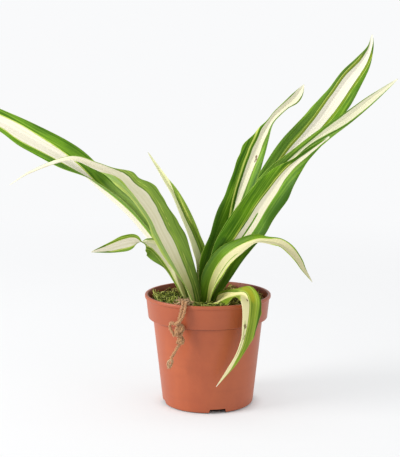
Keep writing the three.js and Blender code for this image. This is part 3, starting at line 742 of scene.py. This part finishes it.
leaves["leaf_upright"] = {
    "heading": 0, "wave": 0.8,
    "rows": [
        (-3.5, 2.5, baseHeight, 3.6, 3.6, 70, 50), (3.7, 2, 101, 10, 9, 74, 28), (11.5, 1, 124, 10.5, 11, 75, 25),
        (20.5, -2, 147, 11, 10.5, 76, 23), (28.5, -5, 170, 11, 10, 76, 22), (33, -6, 181, 10, 8, 78, 22),
        (38, -7, 193, 7, 6, 80, 25), (45, -8, 205, 3.6, 4, 80, 30), (53, -9, 213, 3, 3.1, 80, 30),
        (61, -10, 220.5, 3.2, 4.2, 80, 25), (65.8, -11, 228, 0.4, 0.4, 80, 10),
    ],
    "stripe": [
        (0, 0.6, 0.7), (0.19, 0.5, 0.7), (0.26, 0.12, 0.4), (0.31, -0.14, 0.3), (0.4, -0.22, 0.38),
        (0.5, -0.27, 0.46), (0.57, -0.3, 0.45), (0.63, -0.6, 0.6), (0.7, -0.85, 0.75), (0.8, -0.85, 0.85),
        (0.9, -0.8, 0.75), (1, -1, 1),
    ],
    "pins": [
        (-1, 1.5, 1.7, "lime", 1), (-1, 0.3, 0.9, "deep", 1), (-1, 3.2, 14, "deep", 0.7, -0.1, 0.36),
        (1, 0, 0.5, "olive", 0.8), (1, 0.8, 9, "deep", 0.5),
    ],
    "fresh": (0, 0.1), "mist": 0.12,
    "bulges": [
        (0.37, -1, -1.6, 0.05), (0.45, -1, -0.8, 0.03), (0.52, -1, 0.8, 0.03), (0.59, -1, -1, 0.03),
        (0.67, -1, -1.4, 0.05), (0.67, 1, -1.4, 0.05), (0.3, -1, -1.0, 0.03), (0.17, -1, -1.5, 0.05),
        (0.86, 1, 0.8, 0.04),
    ],
    "shade": 0.5,
    "spots": [(0.478, 0.26, 1.4), (0.462, 0.34, 1.1), (0.445, 0.3, 0.9)],
}
leaves["leaf_tall_right"] = {
    "heading": 0, "wave": 1,
    "rows": [
        (0, 12, baseHeight, 3.6, 3.6, 75, 50), (10.5, 19, 99, 8.5, 8.5, 80, 25), (28, 27, 128.5, 10.5, 11.5, 80, 18),
        (47, 33, 157, 11, 12.5, 80, 15), (61, 37, 177, 11.5, 12.5, 80, 15), (72.5, 40, 190, 11, 12.5, 80, 15),
        (84, 43, 203, 10, 12, 80, 15), (93, 46, 216, 8.5, 14, 78, 16), (102.5, 49, 229, 7, 12.6, 75, 18),
        (113.5, 52, 242, 5.4, 8.4, 72, 22), (120, 54, 253, 2.4, 3.4, 70, 25), (122, 56, 263, 0.4, 0.4, 70, 10),
    ],
    "stripe": [
        (0, -0.3, 0.3), (0.44, -0.2, 0.3), (0.5, -0.27, 0.42), (0.58, -0.35, 0.46), (0.66, -0.36, 0.47),
        (0.73, -0.44, 0.5), (0.78, -0.42, 0.52), (0.83, -0.3, 0.55), (0.93, -0.5, 0.6), (1, -1, 1),
    ],
    "shade": 0.2,
    "pins": [
        (-1, 0.5, 0.8, "olive", 1), (-1, 1.5, 0.7, "lime", 0.9), (1, 0.2, 1.4, "olive", 0.7),
        (1, 1.6, 0.8, "lime", 0.7),
    ],
    "fresh": (0.15, 0.05),
    "bulges": [(0.55, -1, 0.7, 0.04), (0.66, -1, -0.5, 0.04), (0.75, -1, 0.5, 0.04)],
}
leaves["leaf_broad_right"] = {
    "heading": 0, "wave": 1,
    "rows": [
        (-1, -3.5, baseHeight + 1, 3.6, 3.6, 75, 50), (5, -8, 88.5, 8, 8, 88, 25), (16, -14, 110.5, 14, 10.5, 82, 22),
        (22.5, -17, 121, 15.5, 11, 82, 18), (29.5, -20, 132.5, 15.5, 12, 82, 16), (36, -22, 144, 14, 12.5, 82, 16),
        (43.5, -24, 155.5, 12.5, 12.5, 82, 16), (51, -25, 166.5, 8.5, 10.5, 82, 16),
        (59.5, -26, 176, 3.2, 7.5, 82, 18), (68, -27, 183, 2.4, 4.2, 82, 20), (82, -28, 193.5, 0.4, 0.4, 82, 10),
    ],
    "stripe": [
        (0, -0.4, 0.4), (0.2, -0.25, 0.36), (0.44, -0.2, 0.33), (0.5, -0.22, 0.33), (0.6, -0.2, 0.28),
        (0.7, -0.2, 0.24), (0.78, -0.3, 0.26), (0.85, -0.17, 0.4), (0.93, -0.1, 0.5), (1, 0, 0.6),
    ],
    "pins": [
        (-1, 0, 0.5, "olive", 1, 0.24, 1.1), (-1, 0.6, 0.8, "lime", 0.9, 0.24, 1.1),
        (-1, 1.5, 0.6, "olive", 0.7, 0.24, 1.1), (-1, 0.4, 12, "deep", 0.8, -0.1, 0.3), (1, 0, 0.5, "olive", 0.6),
        (1, 0.8, 14, "deep", 0.7, 0, 0.85),
    ],
    "fresh": (0, 0.04),
    "bulges": [(0.62, 1, 0.5, 0.04), (0.4, 1, 0.8, 0.05)],
    "shade": 0.55, "seam": (0.2, 0.5, 0.02, 1.4),
}
leaves["leaf_behind_right"] = {
    "heading": 0, "wave": 0.8,
    "rows": [
        (4, 5, baseHeight, 3.4, 3.4, 55, 50), (11.5, 10, 100, 8, 8, 66, 30), (27.5, 13, 130.5, 10.5, 10.5, 70, 22),
        (46, 13, 158, 9, 10, 70, 18), (63, 12, 177.5, 4.6, 8.5, 70, 18), (81, 11, 192, 4.4, 7, 70, 18),
        (98.5, 9, 204.5, 3.8, 5.6, 70, 18), (114.5, 8, 217.5, 2.4, 4.4, 70, 18), (133, 6, 231.5, 0.4, 0.4, 70, 10),
    ],
    "stripe": [
        (0, -0.3, 0.3), (0.5, -0.2, 0.1), (0.58, -0.25, 0.05), (0.64, -0.45, 0.3), (0.7, -0.6, 0.6),
        (0.75, -0.75, 0.7), (0.85, -0.82, 0.8), (1, -0.85, 0.85),
    ],
    "pins": [(-1, 0.2, 1.4, "deep", 1), (1, 0, 0.4, "lime", 0.6), (1, 0.4, 1.4, "deep", 1)],
    "shade": 0.5, "fresh": (0.15, 0.2), "mist": 0.3,
}
leaves["leaf_arching_right"] = {
    "heading": 0, "wave": 0.6,
    "rows": [
        (0.5, -9.5, baseHeight + 1, 5, 3.4, 40, 50), (3.8, -17, 88.5, 9.4, 6.6, 40, 32),
        (8.8, -21, 101, 11.4, 8.8, 38, 22), (15, -26, 110.5, 10.6, 9.2, 35, 18), (24, -31, 118, 8, 9, 30, 16),
        (32.5, -36, 123, 6, 8.5, 16, 16), (40, -40, 123.8, 4.6, 7.4, 14, 16), (48.2, -43, 122.6, 5, 6.4, 30, 16),
        (54.6, -46, 118.2, 4.4, 5, 40, 16), (60, -48, 112, 3.2, 3.8, 42, 14), (63.8, -50, 106, 2, 2.4, 40, 12),
        (69.4, -52, 98, 0.4, 0.4, 36, 10),
    ],
    "stripe": [
        (0, -0.3, 0.7), (0.1, -0.32, 0.75), (0.2, -0.3, 0.85), (0.26, -0.28, 0.9), (0.33, -0.3, 1), (0.45, -0.3, 1.1),
        (0.55, -0.5, 1.1), (0.62, -0.7, 0.85), (0.8, -0.75, 0.82), (1, -0.85, 0.85),
    ],
    "pins": [
        (-1, 0, 0.5, "lime", 1), (-1, 1.6, 14, "deep", 0.9), (-1, 0.8, 0.6, "deep", 0.7), (1, 0, 0.6, "lime", 1),
    ],
    "seam": (0.06, 0.36, 0.42, 1.6), "fresh": (0, 0.1), "mist": 0.1, "shade": 1, "yellow": 0.15,
    "bulges": [(0.52, 1, 1.2, 0.05)],
}
leaves["leaf_drooping"] = {
    "heading": -50, "wave": 0.4,
    "rows": [
        (5, -10.5, baseHeight, 3.4, 4, 0, 45), (8.4, -14.5, 78.6, 4, 7, 62, 30),
        (13.2, -19.5, 82.4, 3.6, 8.2, 62, 24), (18.5, -25.5, 84.2, 3.6, 10.4, 56, 20),
        (24, -32.5, 85.2, 6.4, 9, 28, 18), (27.3, -39.5, 82.4, 8.6, 8.4, 6, 16), (27.4, -42.9, 75, 9.4, 8.8, -5, 16),
        (26.2, -42.9, 65, 9, 8.2, -8, 16), (24.2, -42.8, 56, 6.6, 6.5, -8, 16), (20.3, -42.6, 46, 4.2, 4.8, -8, 16),
        (14.4, -42.5, 36, 3.2, 3.4, -8, 14), (5.5, -42.5, 23, 0.4, 0.4, -8, 10),
    ],
    "stripe": [
        (0, -0.7, 0.9), (0.14, -0.6, 0.85), (0.21, -0.5, 0.4), (0.28, -0.3, 0.12), (0.37, -0.25, 0.2),
        (0.43, -0.06, 0.7), (0.5, -0.02, 1.1), (0.7, -0.02, 1.1), (0.85, -0.2, 1.1), (1, -1, 1.1),
    ],
    "pins": [
        (-1, 0, 1.6, "lime", 0.6), (-1, 4.6, 1.4, "lime", 0.5), (-1, 0.4, 5, "olive", 1, 0.3, 0.5),
        (-1, 2, 1.6, "olive", 0.4), (-1, 6, 5, "deep", 0.85, 0.3, 0.78), (-1, 0.5, 1.4, "deep", 0.9, 0.6, 0.95),
        (1, 0, 0.8, "lime", 1),
    ],
    "spots": [
        (0.625, 0.45, 2.3), (0.635, 0.2, 1.3), (0.615, 0.7, 1.2), (0.7, 0.15, 1.3), (0.715, 0.18, 1.2),
        (0.45, 0.1, 1.2),
    ],
    # this green line in the cream band is partly painted shade, the shadow in a fold of the band
    "seam": (0.56, 0.86, 0.6, 1.7),
    "bulges": [(0.37, -1, 1.6, 0.04), (0.55, -1, 0.9, 0.03), (0.7, -1, 0.8, 0.03)],
    "yellow": 0.78, "fresh": (0.1, 0.1),
}
bladeSet = {
    "steps": 180,
    "halfColumns": 24,
    "thick": 0.42, "edgeThick": 0.2, "keel": 0.4, "groove": 0.16,
    "waves": ((0.9, 17), (0.3, 43)),  # height and pace of the long and the short waves of the edge
    "pleat": 0.1,
    "gutter": 0.3,  # the share of a half that the round gutter takes
    "rim": 0.5,  # width of the painted highlight along the edge, in pale lime
    "lowReach": 62,  # how far up the painted shade at the foot of a leaf goes
    "dryTip": 0.975,
}


def makeLeafFinish():
    made, tree, shader = newFinish("leafBlade", 0.42, 0.12)
    place = readMark(tree, "leafPlace")
    cream, lime, deep = splitUp(tree, readMark(tree, "leafMarks"))
    # low is painted shade: the foot of each leaf darker and more olive towards the crown
    under, low, blemish = splitUp(tree, readMark(tree, "leafTones"))
    yellow, olive, tip = splitUp(tree, readMark(tree, "leafHues"))
    fresh, mist, shade = splitUp(tree, readMark(tree, "leafSheenMistShade"))
    streak = grain(tree, stretch(tree, place, (1.5, 0.035, 1)), 1, 4, 0.6)
    thread = grain(tree, stretch(tree, place, (5.5, 0.05, 1)), 1, 3, 0.6)
    blotch = grain(tree, stretch(tree, place, (0.1, 0.028, 1)), 1, 3, 0.55)
    cell = grain(tree, stretch(tree, place, (9, 3, 1)), 1, 2, 0.6)
    band = grain(tree, stretch(tree, place, (0.5, 0.016, 1)), 1, 2, 0.5)
    vein = grain(tree, stretch(tree, place, (0.75, 0.006, 1)), 1, 3, 0.55)
    green = tint(tree, ramp(tree, blotch, 0.33, 0.68), paint("#3a6500"), paint("#63920a"))
    green = tint(tree, yellow, green, paint("#a2b024"))
    # partly painted light: a half's green made lighter where it faces the light
    fresh = sums(tree, fresh, ramp(tree, streak, 0.25, 0.7, 0.75, 1.15), "MULTIPLY")
    green = tint(tree, fresh, green, paint("#bbdc80"))
    limeNoise = sums(tree, lime, ramp(tree, thread, 0.2, 0.8, -0.12, 0.12))
    green = layered(tree, green, (
        (band, 0.5, 0.72, 0.5, "#9fc63c"), (thread, 0.35, 0.75, 0.6, "#355f10"), (streak, 0.55, 0.8, 0.55, "#86b02c"),
        (vein, 0.54, 0.68, 0.48, "#9dc444"), (vein, 0.47, 0.34, 0.5, "#2c5a06"), (under, 0.0, 1.0, 0.4, "#7fa04e"),
        (low, 0.3, 1.0, 0.6, "#4d6a1c"), (deep, 0.25, 0.8, 0.8, "#2f540c"), (olive, 0.25, 0.8, 0.8, "#9b9a26"),
        (limeNoise, 0.3, 0.75, 0.85, "#d4e06e"),
    ))
    pale = tint(tree, ramp(tree, thread, 0.35, 0.8), paint("#f1ece0"), paint("#e4decb"))
    pale = layered(tree, pale, [(vein, 0.5, 0.68, 0.4, "#cfc8a8")])
    pale = tint(tree, mist, pale, paint("#dbe8b6"))
    # painted shade: the cream greyer and darker, by the leaf's shade value
    pale = tint(tree, shade, pale, paint("#cdc8a0"))
    pale = layered(tree, pale, ((low, 0.15, 1.0, 0.95, "#a8ae62"), (streak, 0.6, 0.85, 0.3, "#cdd08c")))
    pale = tint(tree, yellow, pale, paint("#f3eaa6"))
    creamNoise = sums(tree, cream, ramp(tree, streak, 0.2, 0.8, -0.16, 0.16))
    base = tint(tree, ramp(tree, creamNoise, 0.4, 0.6), green, pale)
    base = tint(tree, tip, base, paint("#e8e6cf"))
    spotted = ramp(tree, sums(tree, blemish, ramp(tree, cell, 0.2, 0.8, -0.3, 0.3)), 0.35, 0.75, 0, 0.9)
    base = tint(tree, spotted, base, paint("#643f20"))
    tree.links.new(ramp(tree, streak, 0.2, 0.8, 0.34, 0.5), shader.inputs["Roughness"])
    height = sums(tree, sums(tree, thread, streak), sums(tree, cell, 0.35, "MULTIPLY"))
    dress(tree, shader, base, height, 0.22, 0.0004)
    return made


leafFinish = makeLeafFinish()


def edgeAlong(stripe, share, column):
    rows = np.array(stripe, float)
    edge = np.pad(np.interp(share, rows[:, 0], rows[:, column]), 8, mode="edge")
    return np.convolve(edge, np.hanning(19)[1:-1] / 9, mode="valid")


def makeLeaf(name, leaf, seed):
    steps, half = bladeSet["steps"], bladeSet["halfColumns"]
    share = np.linspace(0, 1, steps + 1)
    rows = np.array(leaf["rows"], float)
    spine = through(rows[:, :3], share)
    widths = np.maximum(0.35, through(rows[:, 3:5], share))
    for place, hand, amount, spread in leaf.get("bulges", []):
        widths[:, 0 if hand < 0 else 1] += amount * np.exp(-((share - place) / spread) ** 2)
    angles = np.radians(through(rows[:, 5:7], share))
    along = unit(np.gradient(spine, axis=0))
    heading = math.radians(leaf["heading"])
    level = np.array([math.sin(heading), -math.cos(heading), 0])
    side = unit(level - along * (along @ level)[:, None])
    side = side * np.cos(angles[:, :1]) + np.cross(along, side) * np.sin(angles[:, :1])
    face = np.cross(side, along)
    run = runAlong(spine)
    taper = np.minimum(1, np.minimum(widths[:, 0] / 6, (1 - share) * 5))
    phase = random.Random(seed).uniform(0, 6)
    gutter, ((high, pace), (highShort, paceShort)) = bladeSet["gutter"], bladeSet["waves"]

    # middle surface: half sections built outwards from the keel, the fold easing towards the edge
    middle = np.zeros((steps + 1, 2 * half + 1, 3))
    across = np.zeros((steps + 1, 2 * half + 1))
    middle[:, half] = spine
    for hand in (-1, 1):
        wide = widths[:, 0 if hand < 0 else 1]
        out, rise = np.zeros(steps + 1), np.zeros(steps + 1)
        for k in range(1, half + 1):
            part = (k - 0.5) / half
            soft = min(1, part / gutter)
            eased = 1.45 * (0.25 + 0.75 * soft * soft * (3 - 2 * soft)) - 0.75 * max(0, part - gutter) / (1 - gutter)
            fold = angles[:, 1] * eased
            out = out + np.cos(fold) * wide / half
            rise = rise + np.sin(fold) * wide / half
            v = k / half
            ripple = leaf["wave"] * high * np.sin(share * pace + (0 if hand < 0 else 2)) * v ** 3
            ripple = ripple + leaf["wave"] * highShort * np.sin(share * paceShort + phase + hand) * v ** 4
            pleat = bladeSet["pleat"] * math.sin(v * 9.5) * np.minimum(1, wide / 8)
            up = rise + ripple * taper + pleat
            middle[:, half + hand * k] = spine + side * (hand * out)[:, None] + face * up[:, None]
            across[:, half + hand * k] = hand * v
    dAcross = np.gradient(middle, axis=1)
    dAlong = np.gradient(middle, axis=0)
    normal = unit(np.cross(dAcross, dAlong))
    wideHere = np.where(across < 0, widths[:, :1], widths[:, 1:2])
    offKeel = np.abs(across) * wideHere
    scale = np.minimum(1, wideHere / 8)
    body = bladeSet["thick"] + (bladeSet["edgeThick"] - bladeSet["thick"]) * np.abs(across) ** 4
    body = body * np.minimum(1, 0.35 + (1 - share[:, None]) * 4)
    upper = body / 2 - bladeSet["groove"] * scale * np.exp(-(offKeel / 0.7) ** 2)
    lower = body / 2 + bladeSet["keel"] * scale * np.exp(-(offKeel / 1.0) ** 2)
    top, bottom = middle + normal * upper[..., None], middle - normal * lower[..., None]
    points = np.concatenate([top.reshape(-1, 3), bottom.reshape(-1, 3)])

    columns = 2 * half + 1
    grid = (steps + 1) * columns
    place = np.arange(grid).reshape(steps + 1, columns)
    quads = np.stack([place[:-1, :-1], place[:-1, 1:], place[1:, 1:], place[1:, :-1]], -1).reshape(-1, 4)
    border = np.concatenate([place[0], place[1:, -1], place[-1, -2::-1], place[-2:0:-1, 0]])
    after = np.roll(border, -1)
    rim = np.stack([border, grid + border, grid + after, after], 1)
    faces = np.concatenate([quads, quads[:, [0, 3, 2, 1]] + grid, rim]).tolist()

    # marks that the finish reads: where on the leaf a point is, and how much of each stripe it has
    leftEdge = edgeAlong(leaf["stripe"], share, 1)[:, None]
    rightEdge = edgeAlong(leaf["stripe"], share, 2)[:, None]
    inside = np.minimum(across - leftEdge, rightEdge - across) * wideHere
    cream = np.clip(0.5 + inside * 0.8, 0, 1)
    if "seam" in leaf:
        start, end, at, width = leaf["seam"]
        span = np.clip(np.minimum(share - start, end - share) / 0.05, 0, 1)[:, None]
        cream = cream - span * np.clip(1.3 - np.abs(across - at) * wideHere / (width / 2), 0, 1)
    kinds = {kind: np.zeros_like(across) for kind in ("lime", "deep", "olive")}
    for hand, out, width, kind, strength, *ends in leaf["pins"]:
        edge = leftEdge if hand < 0 else rightEdge
        beyond = (edge - across if hand < 0 else across - edge) * wideHere - out
        band = np.clip(1.1 - np.abs(beyond - width / 2) / (width / 2 + 0.12), 0, 1)
        fade = np.clip((wideHere - 2.5) / 2.5, 0, 1)
        if ends:
            fade = fade * np.clip(np.minimum(share - ends[0], ends[1] - share) / 0.05, 0, 1)[:, None]
        kinds[kind] = np.maximum(kinds[kind], band * fade * strength)
    # painted highlight: a pale lime line along the leaf's edge
    edgeHighlight = np.clip(1 - (1 - np.abs(across)) * wideHere / bladeSet["rim"], 0, 1)
    kinds["lime"] = np.maximum(kinds["lime"], edgeHighlight * 0.55)
    blemish = np.zeros_like(across)
    runHere = np.broadcast_to(run[:, None], across.shape)
    for spotShare, spotAcross, size in leaf.get("spots", []):
        spotRun = np.interp(spotShare, share, run)
        wideSpot = np.interp(spotShare, share, widths[:, 0 if spotAcross < 0 else 1])
        gap = np.hypot((runHere - spotRun) * 0.8, (across - spotAcross) * wideSpot)
        blemish = np.maximum(blemish, np.clip(1.2 - gap / size, 0, 1))
    # painted shade: the foot of each leaf darker towards the crown
    low = np.clip(1.15 - run / bladeSet["lowReach"], 0, 1)[:, None] ** 1.3
    tip = np.clip((share[:, None] - bladeSet["dryTip"]) / 0.02, 0, 1)
    paleGreenAndSheenLeft, paleGreenAndSheenRight = leaf.get("fresh", (0, 0))
    fresh = paleGreenAndSheenLeft + (paleGreenAndSheenRight - paleGreenAndSheenLeft) * np.clip(across / 0.3 + 0.5, 0, 1)
    # painted light: sunny patches made lighter green
    for hand, start, end, strength in leaf.get("sunny", []):
        part = np.clip(np.minimum(share - start, end - share) / 0.06, 0, 1)[:, None]
        fresh = fresh + part * np.clip(across * hand / 0.2, 0, 1) * strength

    def packed(*values):  # three marks as one vector, for the upper and then the lower face
        return np.tile(np.stack([np.broadcast_to(value, across.shape).ravel() for value in values], 1), (2, 1))

    marks = {
        "leafPlace": packed(across * wideHere + seed * 40, runHere, seed * 7.0),
        "leafMarks": packed(cream, kinds["lime"], kinds["deep"]),
        "leafTones": packed(0, low, blemish),
        "leafHues": packed(leaf.get("yellow", 0), kinds["olive"], tip),
        "leafSheenMistShade": packed(fresh, leaf.get("mist", 0), leaf.get("shade", 0)),
    }
    marks["leafTones"][grid:, 0] = 1  # the lower face
    first, *others = name.split("_")
    pieceName = first + "".join(word.capitalize() for word in others)
    newPiece(pieceName, points * mm, faces, leafFinish, [name], marks)


for seed, (name, leaf) in enumerate(leaves.items(), 1):
    makeLeaf(name, leaf, seed)
print("leaves shaped:", len(leaves))

# floor and light

studio = {
    "floor": "#f4f5f6",
    "radius": 8.0,
    "glow": (0.95, 0.955, 0.965, 1),  # the colour the paper glows with, painted light, and of the sky near the horizon
    "dome": (0.44, 0.444, 0.45, 1),
    "lamps": {
        "keyLamp": {"place": (-1.68, -0.62, 0.82), "size": 0.95, "power": 33, "colour": (1.0, 0.985, 0.965)},
        "topLamp": {"place": (0.0, 0.1, 2.4), "size": 1.6, "power": 13, "colour": (1, 1, 1)},
        "fillLamp": {"place": (1.25, -1.15, 0.95), "size": 1.1, "power": 4, "colour": (0.99, 0.995, 1.0)},
    },
}


def makePaper():
    made, tree, shader = newFinish("floorPaper", 1.0, 0.0)
    away = reach(tree, here(tree))
    # painted light: the paper glows, which lifts the pot's shadow; close round the pot's foot it glows less, a painted
    # contact shadow; far off it glows fully
    far = sums(tree, ramp(tree, away, 0.3, 0.95, 0, 0.42), ramp(tree, away, 0.027, 0.042, 0, 0.58))
    tree.links.new(tint(tree, far, paint(studio["floor"]), (0, 0, 0, 1)), shader.inputs["Base Color"])
    tree.links.new(tint(tree, far, (0, 0, 0, 1), studio["glow"]), shader.inputs["Emission Color"])
    shader.inputs["Emission Strength"].default_value = 1.0
    made.cycles.emission_sampling = "NONE"
    return made


def makeStudio():
    turn = [2 * math.pi * k / 96 for k in range(96)]
    radius = studio["radius"]
    mesh = bpy.data.meshes.new("floor")
    mesh.from_pydata([(*around(radius, a), 0) for a in turn], [], [tuple(range(96))])
    mesh.materials.append(makePaper())
    floor = bpy.data.objects.new("floor", mesh)
    scene.collection.objects.link(floor)
    for name, spec in studio["lamps"].items():
        lamp = bpy.data.lights.new(name, "AREA")
        lamp.shape, lamp.size, lamp.energy, lamp.color = "DISK", spec["size"], spec["power"], spec["colour"]
        holder = bpy.data.objects.new(name, lamp)
        holder.location = spec["place"]
        holder.rotation_euler = (Vector((0, 0, 0.1)) - Vector(spec["place"])).to_track_quat("-Z", "Y").to_euler()
        scene.collection.objects.link(holder)
    world = bpy.data.worlds.new("studio")
    world.use_nodes = True
    tree = world.node_tree
    up = splitUp(tree, addNode(tree, "ShaderNodeTexCoord").outputs["Generated"])[2]
    sky = tint(tree, ramp(tree, up, 0.2, 0.5), studio["glow"], studio["dome"])
    tree.links.new(sky, tree.nodes["Background"].inputs[0])
    scene.world = world
    scene.view_settings.view_transform = "Standard"


makeStudio()
